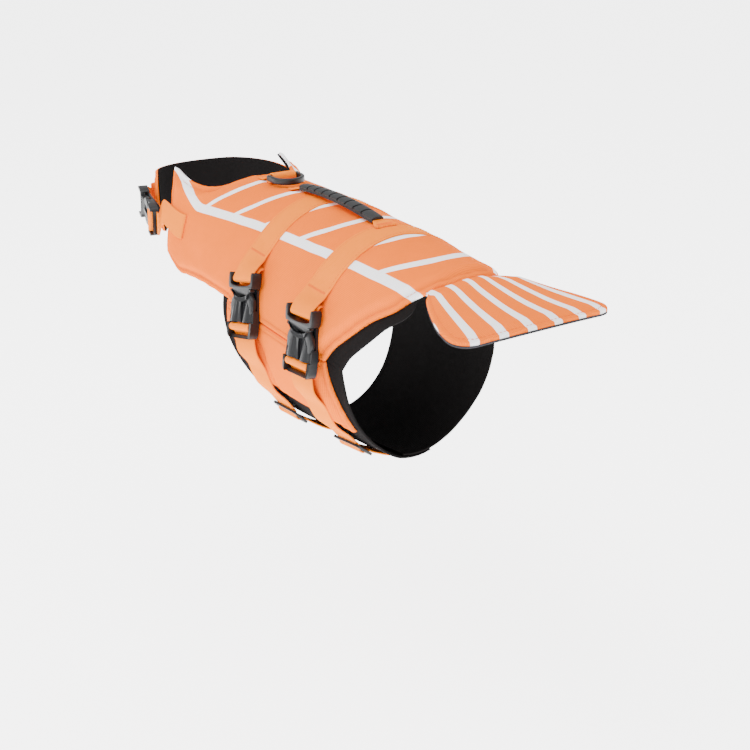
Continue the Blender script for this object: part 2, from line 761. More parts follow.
def sewn_edge(y, s, low):
    """0 for a pad's free edges, 1 near its seam to the flap or the saddle."""
    first, last = FLAP_SEAM
    along = part((y - first) / SEWN_EASE) * part((last - y) / SEWN_EASE)
    return along * part((SEWN_REACH - np.abs(np.abs(s) - low)) / SEWN_EASE)


def at_seam(y, s, full, low):
    """Fullness that runs on to the seam, and stays rolled at the free edges."""
    sewn = sewn_edge(y, s, low)
    return (1 - sewn) * full + sewn * np.minimum(butted(np.abs(np.abs(s) - low)), PAD)


def saddle_top(y, s):
    gap = edge_gap(y, s, SADDLE_BORDER)
    press = strap_press(y, s)
    loose = (1 - press) * part(gap / 10.0)
    roll = 3.0 * bell(y - ROLL_Y, 9) * np.maximum(0.0, 1 - (s / ROLL_HALF) ** 2)
    soft = (0.6 * cloud(y, s, 42.0, 3) + 0.3 * cloud(y, s, 15.0, 4)
            + creases(y, s, SADDLE_CREASES))
    full = at_seam(y, s, fullness(gap, PAD) + puckers(y, s, gap, 5), LOW_EDGE)
    return PAD_BASE + full + roll + loose * soft - 0.9 * press


def piece_on_skin(name, across, along, place, lifts, sign):
    """A cut piece on the worn form; lifts(y, s) gives the heights of its inner and outer face."""
    def lay(u, v, low):
        y, s = place(u, v)
        return skin(y, sign * s, np.where(low, *lifts(y, s))), np.stack([sign * s, y], -1)

    return cut_piece(name, across if sign > 0 else across[::-1], along, lay)


def make_pad(name, node, across, along, place, top, border, finish, sign=1):
    """A padded panel on the worn form, with its seam attribute and its print's coordinates."""
    def lifts(y, s):
        return PAD_BASE, top(y, s)

    pad, _, cut = piece_on_skin(name, across, along, place, lifts, sign)
    add_seam(pad, seam_mask(edge_gap(cut[:, 1], sign * cut[:, 0], border)))
    add_print(pad, cut)
    dress(pad, finish, [node])
    print(name, len(pad.data.vertices), "points")


make_pad("saddle_pad", "saddle_shell", saddle_columns(), stations(400.0, 2.6), saddle_place,
         saddle_top, SADDLE_BORDER, PRINTED_CLOTH)

# %% [markdown]
# The girth flaps are smaller pads that hang from the saddle's low edge to the belly. A sewn
# groove parts each in two, so that it folds round the ribs.

# %% The girth flaps
GIRTH_END = 209.0
GIRTH = (
    # s, y of its front edge, y of its rear edge
    (138.0, -63.0, 92.5), (150.0, -61.5, 96.0), (160.0, -57.5, 99.0), (172.0, -51.0, 102.5),
    (186.0, -42.0, 105.0), (200.0, -31.0, 106.0), (212.0, -20.0, 106.0),
)
GROOVE = (
    # s, y of the sewn groove
    (138.0, -8.0), (153.0, -4.0), (161.0, 3.0), (176.0, 8.0), (195.0, 13.0), (212.0, 18.0),
)
GIRTH_CREASES = (
    # y, s, turn, length, width, height
    (-24.0, 160.0, 60.0, 40.0, 5.0, -0.7), (-14.0, 184.0, 48.0, 34.0, 5.0, -0.6),
    (34.0, 166.0, 70.0, 50.0, 6.0, -0.7), (52.0, 190.0, 82.0, 40.0, 6.0, -0.6),
    (84.0, 158.0, 80.0, 40.0, 6.0, 0.6), (96.0, 184.0, 88.0, 40.0, 6.0, -0.6),
)


def girth_place(down, back):
    s = LOW_EDGE + GAP + (GIRTH_END - LOW_EDGE - GAP) * down
    return (1 - back) * smooth(GIRTH, 1, s) + back * smooth(GIRTH, 2, s), s


GIRTH_BORDER = border_of(girth_place)


def girth_top(y, s, sign):
    gap = edge_gap(y, s, GIRTH_BORDER)
    press = strap_press(y, sign * s)
    off = np.abs(y - smooth(GROOVE, 1, s))
    valley = 3.4 * bell(off, 2.2) + 1.3 * bell(off, 6.5)
    soft = (0.4 * cloud(y, s, 30.0, 13) + 0.25 * cloud(y, s, 12.0, 14)
            + creases(y, s, GIRTH_CREASES))
    inside = part(gap / 10.0) * (1 - press)
    full = at_seam(y, s, fullness(gap, PAD) + puckers(y, s, gap, 15), LOW_EDGE + GAP)
    return PAD_BASE + full + inside * (soft - valley) - 0.9 * press


SIDES = (("left", 1), ("right", -1))


def make_girths():
    downs, backs = stations(71.0, 2.2), stations(155.0, 2.2)
    for side, sign in SIDES:
        def top(y, s):
            return girth_top(y, s, sign)

        make_pad("girth_pad_" + side, "girth_" + side, downs, backs, girth_place, top,
                 GIRTH_BORDER, ORANGE_CLOTH, sign)


make_girths()

# %% [markdown]
# The lining and the belly band are single knitted cloth with a bound edge, so they are thin
# shells. The binding is a tape folded over the edge, which shows as a rim a little thicker
# than the cloth. Each is declared as a sheet with the flat size it was cut to.

# %% The lining and the belly band
LINING_REAR_MARGIN = ((0.0, 0.0), (0.32, 0.0), (0.42, 10.0), (0.6, 15.0), (1.0, 21.0))
BAND = (
    # s, y of its front edge, y of its rear edge
    (138.0, -78.0, 113.0), (160.0, -74.0, 115.0), (185.0, -66.0, 115.0), (210.0, -54.0, 114.0),
    (240.0, -42.0, 112.0), (280.0, -34.0, 110.0), (345.0, -32.0, 108.0),
)
BELLY_LAP = 16.0
BELLY_REACH = 180.0      # roughly from the flap seam to the belly's middle
BIND_WIDE = 4.2
BIND_HIGH = 0.55


def binding(gap):
    """Height of the folded tape above the cloth."""
    inner_edge = 1 - part((gap - BIND_WIDE) / 0.7)
    return BIND_HIGH * inner_edge * np.sqrt(np.clip(gap / 0.8, 0.02, 1))


def lining_place(across, back):
    y, s = saddle_place(across, back)
    share = np.abs(2 * across - 1)
    last = part((back - 0.9) / 0.1) ** 2
    return y + last * smooth(LINING_REAR_MARGIN, 1, share), s


def girdle_middle(y):
    """s of the middle of the belly."""
    tries = np.arange(200.0, 360.0, 0.5)
    return np.array([np.interp(math.pi, angle_at(np.full(len(tries), row), tries), tries)
                     for row in np.atleast_1d(y)])


MIDDLE_ROWS = np.arange(-90.0, 130.0, 10.0)
MIDDLES = girdle_middle(MIDDLE_ROWS)


def belly_middle(y):
    return np.interp(y, MIDDLE_ROWS, MIDDLES)


def belly_place(along, back):
    start = LOW_EDGE + GAP
    rough = start + BELLY_REACH * along
    y = (1 - back) * smooth(BAND, 1, rough) + back * smooth(BAND, 2, rough)
    return y, start + (belly_middle(y) + BELLY_LAP - start) * along


def flat_area(piece):
    """Area of one side of a thin piece, in square metres."""
    return sum(face.area for face in piece.data.polygons) / 2


def make_thin(name, node, across, along, place, lifts, finish, sign=1):
    piece = piece_on_skin(name, across, along, place, lifts, sign)[0]
    dress(piece, finish, [node])
    return piece


def lining_lifts(y, s):
    gap = edge_gap(y, s, LINING_BORDER)
    free = part((np.abs(s) - 40) / 40) * part((y - 90) / 20)
    ripple = 0.7 * free * cloud(y, s, 16.0, 21)
    return ripple - binding(gap) * free, LINING + ripple + binding(gap) * free


LINING_BORDER = border_of(lining_place)
lining = make_thin("lining_cloth", "saddle_lining", saddle_columns(), stations(400.0, 4.6),
                   lining_place, lining_lifts, BLACK_KNIT)


def make_bands():
    border, shares = border_of(belly_place), stations(BELLY_REACH, 4.0)
    for side, sign, lap in (("left", 1, 2 * LINING), ("right", -1, 0.0)):
        def lifts(y, s):
            free = part((s - LOW_EDGE) / 20)
            rise = lap * part((s - belly_middle(y) + 48) / 26)
            rim = binding(edge_gap(y, s, border)) * free
            ripple = 0.25 * free * cloud(y, s, 24.0, 31)
            return rise + ripple - 0.3 * rim, rise + ripple + LINING + rim

        band = make_thin("belly_cloth_" + side, "belly_band_" + side, shares, shares,
                         belly_place, lifts, BLACK_KNIT, sign)


make_bands()

# %% [markdown]
# The tail fin is a flat pad: orange cloth over foam on top, grey cloth below. Its root tucks
# under the saddle's padded roll, and its print coordinates count the rays across its width.

# %% The tail fin
TAIL = (
    # y, half width, height of its middle, drop at its side edge
    (172.0, 38.0, -2.0, 6.5), (190.0, 48.5, -6.0, 6.0), (211.0, 58.5, -9.5, 5.0),
    (230.0, 66.0, -11.5, 4.0), (248.0, 70.0, -12.5, 3.5), (270.0, 71.0, -13.0, 3.0),
)
TAIL_END = 268.5
TAIL_BOW = 5.0
TAIL_CORNER = 14.0
TAIL_PAD = 4.2
TAIL_UNDER = 1.6
TAIL_SEAM = 4.6          # from the edge to the stitches
TAIL_ROLL = 2.4          # height of the rolled edge
TAIL_HALF = 66.0         # about half its width and its length, for distances to its edge
TAIL_LONG = 92.0
TAIL_TUCK = (60.0, 8.0)  # the same at its root, which ends out of sight under the roll
TOP_LUMPS = (95.0, 60.0)     # millimetres back and across, for its unevenness
UNDER_LUMPS = (92.0, 65.0)


def tail_point(across, back, lift):
    reach = across * across
    root_s = TAIL[0][1] * 1.04 * across
    root = smooth(SADDLE_REAR, 1, np.abs(root_s) / LOW_EDGE) + 2 * GAP
    end = TAIL_END - TAIL_BOW * reach
    y = root + (end - root) * back
    into = np.clip(TAIL_CORNER - (end - y), 0, TAIL_CORNER)
    half = smooth(TAIL, 1, y) - TAIL_CORNER + np.sqrt(TAIL_CORNER**2 - into**2)
    flat = np.stack([half * across, y, smooth(TAIL, 2, y) - smooth(TAIL, 3, y) * reach + lift], -1)
    seat = skin(y, root_s * half / TAIL[0][1], lift)
    free = part(back / 0.18)[..., None]
    return seat * (1 - free) + flat * free


def tail_gap(across, back):
    """About how far a point of the fin is from the nearest edge."""
    root = back * TAIL_TUCK[0] + TAIL_TUCK[1]
    return np.minimum(np.minimum((1 - np.abs(across)) * TAIL_HALF, root), (1 - back) * TAIL_LONG)


def tail_lift(across, back):
    gap = tail_gap(across, back)
    y, x = back * TOP_LUMPS[0], across * TOP_LUMPS[1]
    roll = TAIL_ROLL * rounded(gap / 2.0)
    dip = -0.3 * bell(gap - TAIL_SEAM, 0.9)
    rise = part((gap - 2.0) / 12.0)
    soft = 0.35 * cloud(y, x, 30.0, 41) + 0.12 * cloud(y, x, 12.0, 42)
    return (TAIL_UNDER + GAP + roll + dip + (TAIL_PAD - TAIL_ROLL) * soft_rise(rise)
            + soft * rise)


def make_tail():
    across, along = stations(130.0, 2.0) * 2 - 1, stations(TAIL_LONG, 2.0)

    def lay_top(u, v, low):
        points = tail_point(u, v, np.where(low, TAIL_UNDER + GAP, tail_lift(u, v)))
        return points, points[:, :2]

    def lay_under(u, v, low):
        sag = (0.25 * cloud(v * UNDER_LUMPS[0], u * UNDER_LUMPS[1], 14.0, 43)
               * part(tail_gap(u, v) / 8))
        points = tail_point(u, v, np.where(low, sag, TAIL_UNDER))
        return points, points[:, :2]

    top, points, _ = cut_piece("tail_pad", across, along, lay_top)
    fan = RAY_ROOT[1] + RAY_SPREAD * (points[:, 1] - RAY_ROOT[0])
    add_print(top, np.stack([(points[:, 0] / fan + 1) * RAY_COUNT / 2, points[:, 1]], -1))
    dress(top, TAIL_CLOTH, ["tail_top"])
    under = cut_piece("tail_backing", across[::2], along[::2], lay_under)[0]
    dress(under, GREY_KNIT, ["tail_under"])
    flat_area(under)


make_tail()

# %% [markdown]
# The chest panel goes round the front of the wearer, from its seam at the saddle's right
# front edge to its free end on the left, where webbing carries on to the chest buckle.

# %% The chest panel
CHEST_MIDDLE_Y = -236.0
CHEST_WIDE = 78.0
CHEST_DEEP = 92.0
CHEST_TOP = -4.0
CHEST_TALL = 66.0
CHEST_LEFT = 62.0
CHEST_SPAN = 132.0
CHEST_FREE = 0.62
CHEST_PAD = 5.0
CHEST_FULL = 0.92        # its foam is drawn a little tighter than the saddle's
CHEST_LONG = 290.0
CHEST_TUCK = (4.0, 9.0)      # how far its upper and its lower edge draw in
CHEST_DIP = 7.0          # how far its upper edge hangs down in the middle
CHEST_SEAM = (TIP + 0.12, 0.90)     # shares down the saddle's front edge that it is sewn to


def chest_point(turn, down, lift):
    """A point of the panel, from its free end on the left to its seam on the right."""
    turn, down, lift = (np.asarray(a, float) for a in (turn, down, lift))
    angle = np.radians(CHEST_LEFT - CHEST_SPAN * turn)
    tuck = CHEST_TUCK[1] * down**2 + CHEST_TUCK[0] * (1 - down) ** 2
    wide, deep = CHEST_WIDE + lift - tuck * 0.5, CHEST_DEEP + lift - tuck
    z = CHEST_TOP - CHEST_DIP * np.sin(math.pi * turn) * (1 - down) - CHEST_TALL * down
    free = np.stack([wide * np.sin(angle), CHEST_MIDDLE_Y - deep * np.cos(angle),
                     z + 0 * wide], -1)
    share = CHEST_SEAM[0] + (CHEST_SEAM[1] - CHEST_SEAM[0]) * down
    y = smooth(SADDLE_FRONT, 1, share) - 1.2
    seam = skin(y, -share * SADDLE_LOW[0][1], lift)
    hold = (np.maximum(0.0, (turn - CHEST_FREE) / (1 - CHEST_FREE)) ** 2)[..., None]
    return free * (1 - hold) + seam * hold


def make_chest():
    turns, downs = stations(CHEST_LONG, 2.4), stations(CHEST_TALL, 2.0)

    def gap_of(turn, down):
        ends = np.minimum(turn, 1 - turn) * CHEST_LONG
        return np.minimum(ends, np.minimum(down, 1 - down) * CHEST_TALL)

    def lay_pad(u, v, low):
        cut, gap = cut_of(u, v), gap_of(1 - u, v)
        soft = 0.4 * cloud(cut[:, 0], cut[:, 1], 22.0, 51) * part(gap / 10)
        high = PAD_BASE + fullness(gap, CHEST_PAD) * CHEST_FULL + soft
        return chest_point(1 - u, v, np.where(low, PAD_BASE, high)), cut

    def lay_lining(u, v, low):
        return chest_point(1 - u, v, np.where(low, 0.0, LINING)), cut_of(u, v)

    def cut_of(u, v):
        return np.stack([(1 - u) * CHEST_LONG, v * CHEST_TALL], -1)

    pad = cut_piece("chest_pad", turns, downs, lay_pad)[0]
    dress(pad, ORANGE_CLOTH, ["chest_panel"])
    inner = cut_piece("chest_lining_cloth", turns, downs, lay_lining)[0]
    dress(inner, BLACK_KNIT, ["chest_lining"])
    flat_area(inner)


make_chest()

# %% [markdown]
# The buckles are side-release buckles: a female half with a U mouth, two barrels and a window
# in each flank, and a male half with horns, a guide tongue and two bowed prongs. Each is
# moulded in its own small frame, in millimetres, with Y from the foot to the mouth. Flat
# plates are extruded from outlines, cones make the barrels, and Booleans join and cut them.
# A small bevel then breaks every edge, because a moulded edge always catches a line of light.

# %% Shaping plastic
BUCKLE_LONG = 58.0
BUCKLE_THICK = 10.0
MOUTH = 43.0
CATCH = 17.0
RAIL = 3.4
BAR = 2.6
FOOT_BAR = 1.6
LADDER_BAR = 10.2
LADDER_HIGH = 6.0
MALE_BAR = 52.3


def arc(cx, cy, rx, ry, start, end, steps):
    turns = np.radians(np.linspace(start, end, steps + 1))
    return [(cx + rx * math.cos(t), cy + ry * math.sin(t)) for t in turns]


def mirrored(outline):
    return [(-x, y) for x, y in outline]


def both_sides(half_outline):
    """A whole outline from its right half; points on the middle line aren't doubled."""
    return half_outline + mirrored((x, y) for x, y in reversed(half_outline) if x > 0.01)


def box(x0, x1, y0, y1):
    return [(x0, y0), (x1, y0), (x1, y1), (x0, y1)]


def faces_out():
    """Turn the faces of the piece in edit mode outward, and leave that mode."""
    bpy.ops.mesh.select_all(action="SELECT")
    bpy.ops.mesh.normals_make_consistent(inside=False)
    bpy.ops.object.mode_set(mode="OBJECT")


def plate(outline, low, high):
    """A flat solid extruded from an outline, in millimetres."""
    pick_only()
    bpy.ops.mesh.primitive_circle_add(vertices=len(outline), radius=1, fill_type="NGON")
    piece = bpy.context.object
    for vert, (x, y) in zip(piece.data.vertices, outline):
        vert.co = (x, y, low)
    bpy.ops.object.mode_set(mode="EDIT")
    bpy.ops.mesh.select_all(action="SELECT")
    bpy.ops.mesh.extrude_region_move(TRANSFORM_OT_translate={"value": (0, 0, high - low)})
    faces_out()
    return piece


def barrel(x, foot, mouth, foot_radius, mouth_radius, low, squash):
    """A cone that lies along Y, its axis low above the base, flattened by squash."""
    pick_only()
    bpy.ops.mesh.primitive_cone_add(vertices=40, radius1=foot_radius, radius2=mouth_radius,
                                    depth=mouth - foot)
    piece = bpy.context.object
    turn = Matrix.Rotation(-math.pi / 2, 4, "X")
    flat = Matrix.Diagonal((1, 1, squash, 1))
    piece.data.transform(Matrix.Translation((x, (foot + mouth) / 2, low)) @ flat @ turn)
    return piece


def shape_by(base, kind, tools):
    """Unite a base with helper pieces, or cut it by them; the helpers are used up."""
    for tool in tools:
        apply_change(base, "BOOLEAN", operation=kind, solver="EXACT", object=tool)
        bpy.data.objects.remove(tool)
    return base


def eased(piece, width, segments=2, angle=35.0):
    """Round the edges that are sharper than an angle."""
    apply_change(piece, "WELD", merge_threshold=0.02)
    apply_change(piece, "BEVEL", width=width, segments=segments, limit_method="ANGLE",
                 angle_limit=math.radians(angle))
    return piece


def set_in_place(piece, name, place, node, finish=None, body="root"):
    """From millimetres in its own frame to its place on the vest, smooth and dressed."""
    pick_only(piece)
    bpy.ops.object.shade_smooth_by_angle(angle=math.radians(32))
    piece.data.transform(place @ Matrix.Scale(MM, 4))
    piece.name = piece.data.name = name
    dress(piece, finish or BLACK_PLASTIC, [node], body)
    print(name, len(piece.data.polygons), "faces")


# %% The two halves of a buckle
FEMALE_LOW = 6.4         # height of the female half's flat body, under its two crests
HOLLOW = (2.2, 5.4)      # floor and roof of the hollow that takes the prongs
MALE_SLOPE = 0.44        # radians that the male half's middle falls toward the mouth


def cross_bar(slot, y, low, high):
    """A rounded bar across a slot, for webbing to turn round."""
    return eased(plate(box(-slot - 0.8, slot + 0.8, y - BAR / 2, y + BAR / 2), low, high), 0.7, 3)


def female_half(name, node, half, place):
    slot, waist, inner = half - RAIL, half - 3.0, half - 1.4
    foot = arc(half - 6, 6, 6, 6, -90, 0, 8)
    side = [(half, CATCH - 3), (half - 0.5, CATCH + 3), (waist, MOUTH - 5), (waist, MOUTH)]
    mouth = arc(0, MOUTH, half - 5.2, 7, 0, -90, 14)
    body = plate(both_sides([*foot, *side, *mouth]), 0.0, FEMALE_LOW)
    shelf = CATCH - 2.6
    rim = [(waist, MOUTH - 4.5), (waist, MOUTH), *mouth]
    under_rim = arc(0, MOUTH - 3, half - 6.5, 8.0, -90, 0, 10)
    joins = [barrel(x, shelf, MOUTH - 3, half * 0.45, half * 0.27, 2.0, 0.92)
             for x in (half * 0.5, -half * 0.5)]
    joins += [
        plate(both_sides([(3.2, shelf), (1.7, shelf + 9), (1.5, MOUTH - 9)]), 3.0, 9.0),
        plate(both_sides([*under_rim, *rim]), 2.0, 9.5),
        plate(both_sides([*foot, (half, shelf - 0.5), (0.02, shelf - 0.5)]), 1.0, 8.8),
    ]
    shape_by(body, "UNION", joins)
    window = arc(half - 0.6, CATCH + 16.2, half * 0.47, 8.4, 0, 360, 28)[:-1]
    cuts = [plate(box(left, right, shelf + start, MOUTH + 5), *HOLLOW)
            for left, right, start in ((-3.4, 3.4, 2), (2.0, inner, 3), (-inner, -2.0, 3))]
    cuts += [plate(line, HOLLOW[0], BUCKLE_THICK + 3) for line in (window, mirrored(window))]
    over, foot_end = BUCKLE_THICK + 1, 2 * FOOT_BAR + 0.5
    cuts += [plate(box(-slot, slot, start, end), low, high) for start, end, low, high in (
        (2 * FOOT_BAR, shelf, -1, over), (-1, foot_end, -1, 2.6), (-1, foot_end, 6.0, over))]
    shape_by(body, "DIFFERENCE", cuts)
    eased(body, 0.55)
    bar = cross_bar(slot, LADDER_BAR, LADDER_HIGH - 1.2, LADDER_HIGH + 1.2)
    set_in_place(shape_by(body, "UNION", [bar]), name, place, node)


def male_half(name, node, half, place):
    slot = half - RAIL
    shoulder = MOUTH + 0.6
    lower = arc(0, shoulder, half - 5.6, 6.4, -90, 0, 14)
    upper = [(half - 1.6, shoulder + 0.2), (half - 0.3, shoulder + 3), (half, shoulder + 6),
             (half, BUCKLE_LONG - 3), (half - 0.9, BUCKLE_LONG - 0.6),
             (half - 2.2, BUCKLE_LONG - 0.2), (slot + 0.1, BUCKLE_LONG - 2.6),
             (slot, MALE_BAR - 4.5)]
    smile = [(slot * 0.72, MALE_BAR - 5.9), (slot * 0.36, MALE_BAR - 6.6),
             (0.0, MALE_BAR - 6.9)]
    base = plate(both_sides([*lower, *upper, *smile]), 0.4, BUCKLE_THICK - 0.1)
    slope = plate(box(1.2 - slot, slot - 1.2, -14, 0), 0, 8)
    slope.data.transform(Matrix.Translation((0, MOUTH + 1.6, BUCKLE_THICK))
                         @ Matrix.Rotation(MALE_SLOPE, 4, "X"))
    shape_by(base, "DIFFERENCE", [slope])
    eased(base, 1.0, 3)
    tongue = eased(plate(box(-2.4, 2.4, CATCH + 6, shoulder - 2), 2.7, 4.9), 0.5)
    outline = [(half - 12.0, shoulder - 1), (half - 11.5, CATCH + 12), (half - 9.5, CATCH + 5),
               (half - 5, CATCH + 3.4), (half - 2.0, CATCH + 6), (half - 1.0, CATCH + 12),
               (half - 2.2, CATCH + 17), (half - 6.0, shoulder - 5), (half - 7.0, shoulder - 1)]
    prongs = [eased(plate(line, 2.6, 7.6), 1.7, 4, 20.0) for line in (outline, mirrored(outline))]
    bar = cross_bar(slot, MALE_BAR, BUCKLE_THICK / 2 - 1.3, BUCKLE_THICK / 2 + 1.1)
    shape_by(base, "UNION", [tongue, *prongs, bar])
    set_in_place(base, name, place, node)


# %% Where the buckles lie
FLANK_BUCKLES = {"front": (-17.0, 130.0, 14.0), "rear": (73.0, 127.0, 5.0)}
FLANK_LIFT = PAD_TOP + 0.6
CHEST_FOOT = np.array([84.5, -244.0, -50.0])
CHEST_HEAD = np.array([74.0, -300.0, -38.0])
CHEST_OUT = np.array([1.0, -0.16, 0.0])
CHEST_HALF = 16.5
BODY_HALF = BODY_STRAP / 2 + 4


def frame_at(origin, across, along, up):
    """A matrix from a piece's own millimetres to the vest's metres, without the scale."""
    across, along, up = (unit(a) for a in (across, along, up))
    rows = [(across[i], along[i], up[i], origin[i] * MM) for i in range(3)]
    return Matrix(rows + [(0, 0, 0, 1)])


def at(place, x, y, z):
    """The vest's point, in millimetres, of a point of the piece's own frame."""
    return np.array(place @ Vector((x * MM, y * MM, z * MM))) / MM


def across_of(place):
    """The vest's direction of the piece's own X."""
    return at(place, 1, 0, 0) - at(place, 0, 0, 0)


def up_the_flank(y, s):
    """Directions toward the spine and off the body."""
    return unit(skin(y, s - 4, 0) - skin(y, s + 4, 0)), outward(y, angle_at(y, s))


def flank_place(which):
    y, s, turn = FLANK_BUCKLES[which]
    seat = skin(y, s, FLANK_LIFT)
    climb, up = up_the_flank(y, s)
    climb = np.array(Matrix.Rotation(math.radians(turn), 3, Vector(up)) @ Vector(climb))
    return frame_at(seat - climb * BUCKLE_LONG / 2, np.cross(climb, up), climb, up)


def chest_place():
    along = unit(CHEST_HEAD - CHEST_FOOT)
    across = unit(np.cross(along, CHEST_OUT))
    return frame_at(CHEST_FOOT, across, along, np.cross(across, along))


PLACES = {"front": flank_place("front"), "rear": flank_place("rear"), "chest": chest_place()}
for which, half in (("front", BODY_HALF), ("rear", BODY_HALF), ("chest", CHEST_HALF)):
    female_half("female_" + which, f"buckle_{which}_female", half, PLACES[which])
    male_half("male_" + which, f"buckle_{which}_male", half, PLACES[which])

# %% [markdown]
# Webbing is a flat woven band, 30 mm wide round the body and 25 mm at the chest. It is not
# draped by simulation, which would stretch it: a smooth curve is run through stations along
# its real route, and a thin grid with two sides follows that curve, flat across.

# %% A band of webbing
BANDS = {}               # each band's route, for the stitches on it


def run_through(path, step):
    """Middles, directions across, directions up and distances along a smooth curve."""
    points = np.array([p for p, _ in path], float)
    sides = unit(np.array([a for _, a in path], float))
    gaps = np.maximum(np.linalg.norm(np.diff(points, axis=0), axis=1), 0.05)
    rise = np.diff(points, axis=0) / gaps[:, None]
    share = (gaps[1:] / (gaps[1:] + gaps[:-1]))[:, None]
    slope = np.concatenate([rise[:1], rise[:-1] * share + rise[1:] * (1 - share), rise[-1:]])
    middles, acrosses = [points[:1]], [sides[:1]]
    for k, gap in enumerate(gaps):
        t = np.linspace(0, 1, max(1, math.ceil(gap / step)) + 1)[1:, None]
        middles.append(hermite(t, points[k], points[k + 1], gap * slope[k], gap * slope[k + 1]))
        acrosses.append(sides[k] * (1 - t) + sides[k + 1] * t)
    middles, acrosses = np.concatenate(middles), unit(np.concatenate(acrosses))
    along = unit(np.gradient(middles, axis=0))
    return middles, acrosses, unit(np.cross(acrosses, along)), lengths_along(middles)


def make_webbing(name, node, path, wide, thick=WEB, widths=None, step=2.6):
    """A band along a path of (middle, direction across); widths may change along it."""
    middles, acrosses, ups, far = run_through(path, step)
    if widths is None:
        halves = np.full(len(far), wide / 2)
    else:
        spots = [np.argmin(np.linalg.norm(middles - p, axis=1)) for p, _ in path]
        halves = np.interp(np.arange(len(far)), spots, widths) / 2
    near = np.array([0.25, 0.6, 1.1, 1.8, 2.8]) * 2 / wide
    shares = np.concatenate([[-1], near - 1, np.linspace(-0.72, 0.72, 9), 1 - near[::-1], [1]])

    def lay(u, v, low):
        k = np.rint(v).astype(int)
        edge = (1 - np.abs(u)) * halves[k]
        high = thick / 2 * (0.25 + 0.75 * rounded(edge / 0.7))
        high = high + 0.08 * bell(edge - 1.3, 0.8)
        x = u * halves[k]
        rise = np.where(low, -high, high)
        points = middles[k] + acrosses[k] * x[:, None] + ups[k] * rise[:, None]
        return points, np.stack([x, far[k]], -1)

    band = cut_piece(name, shares, np.arange(len(far), dtype=float), lay)[0]
    dress(band, ORANGE_WEBBING, [node])
    cut_area = flat_area(band) if widths else None
    BANDS[name] = middles, acrosses, ups, far, thick
    print(name, "cut", wide, "x", round(float(far[-1]), 1), "mm")


LOOP = BAR / 2 + 0.7 + WEB / 2
BAND_SEAT = 3 * LINING + 0.5
STRAP_FALL = (204.0, 226.0)      # s where a strap leaves the pads, and reaches the band
STRAP_STEP = 11.0        # from station to station
SLIDER_S = 246.0
SLIDER_WAY = ((10.5, -1.25), (8.6, -1.2), (6.6, -0.7), (4.4, 1.1), (2.8, 3.0), (0.0, 3.6))
SLIDER_THICK = 2.4
SLIDER_LONG = 10.8       # from its middle to its end
SLIDER_SLOTS = ((-8.4, -1.3), (1.3, 8.4))
FEED_LOOP = (196, -72)   # degrees round a ladder bar, from where webbing comes to its end


def on_body(y, s, lift):
    up = outward(y, angle_at(y, s))
    tailward = np.array([0.0, 1.0, 0.0])
    return skin(y, s, lift + WEB / 2), tailward - up * (up @ tailward)


def strap_station(which, s, rise=0.0):
    """A strap's station on the body, at its seat on the pads or on the belly band."""
    down = min(max((abs(s) - STRAP_FALL[0]) / (STRAP_FALL[1] - STRAP_FALL[0]), 0.0), 1.0)
    seat = WEB_SEAT + (BAND_SEAT - WEB_SEAT) * soft_rise(down)
    return on_body(smooth(STRAPS[which], 1, s), s, seat + rise)


def loop_round(place, bar, high, radius, start, end, steps=9):
    """Stations round a buckle bar, in the plane of its own Y and Z."""
    turns = np.radians(np.linspace(start, end, steps + 1))
    return [(at(place, 0, bar + radius * math.cos(t), high + radius * math.sin(t)),
             across_of(place)) for t in turns]


def slider_place(which):
    y = smooth(STRAPS[which], 1, SLIDER_S)
    climb, up = up_the_flank(y, SLIDER_S)
    return frame_at(skin(y, SLIDER_S, BAND_SEAT + WEB + 0.4), np.cross(climb, up), climb, up)


def through_slider(which):
    place = slider_place(which)
    way = [*SLIDER_WAY, *mirrored(reversed(SLIDER_WAY[:-1]))]
    return [(at(place, 0, d, z), across_of(place)) for d, z in way]


def body_strap_path(which):
    """From the left buckle's male bar over the back and the belly to its ladder bar."""
    place = PLACES[which]
    male = loop_round(place, MALE_BAR, BUCKLE_THICK / 2 - 0.1, LOOP, 292, 62)
    across = across_of(place)
    path = [strap_station(which, BARTACK + 7), (at(place, 0, BUCKLE_LONG + 1.5, 0.4), across),
            *male, (at(place, 0, BUCKLE_LONG + 1.5, 4.6), across)]
    path += [strap_station(which, BARTACK + on, rise)
             for on, rise in ((1, 2.2), (-5, 0.9), (-10, 0.0))]
    path += [strap_station(which, 68.0 - 11.2 * k) for k in range(27)]
    middle = float(belly_middle(smooth(STRAPS[which], 1, 300)))
    count = int((middle - SLIDER_S - 14) / STRAP_STEP)
    last = [-s for s in np.arange(middle - 62, middle - 4, STRAP_STEP)]
    under = [middle - STRAP_STEP * k for k in range(1, count + 1)]
    path += [strap_station(which, s) for s in [*last, middle - 1, *under]]
    path += reversed(through_slider(which))
    path += [strap_station(which, s) for s in (232.0, 224.0, 215.0, 206.0, 196.0, 186.0)]
    path += [(at(place, 0, y, z), across)
             for y, z in ((-10.0, -1.2), (-4.0, 0.6), (1.0, 1.5), (4.2, 1.8))]
    path += loop_round(place, LADDER_BAR, LADDER_HIGH, LOOP, *FEED_LOOP)
    return [(p, a if a[1] > 0 else -a) for p, a in path]


def make_slider(which):
    """Two slots and three bars; the webbing weaves through it to take up slack."""
    half, slot, shoulder = BODY_STRAP / 2 + 3, BODY_STRAP / 2 + 0.6, SLIDER_LONG - 2
    frame_plate = plate(both_sides([(half - 2, -SLIDER_LONG), (half, -shoulder), (half, shoulder),
                                    (half - 2, SLIDER_LONG)]), 0.0, SLIDER_THICK)
    shape_by(frame_plate, "DIFFERENCE", [plate(box(-slot, slot, low, high), -1, 4)
                                         for low, high in SLIDER_SLOTS])
    eased(frame_plate, 0.6, 3)
    set_in_place(frame_plate, "slider_plate_" + which, slider_place(which), "slider_" + which)


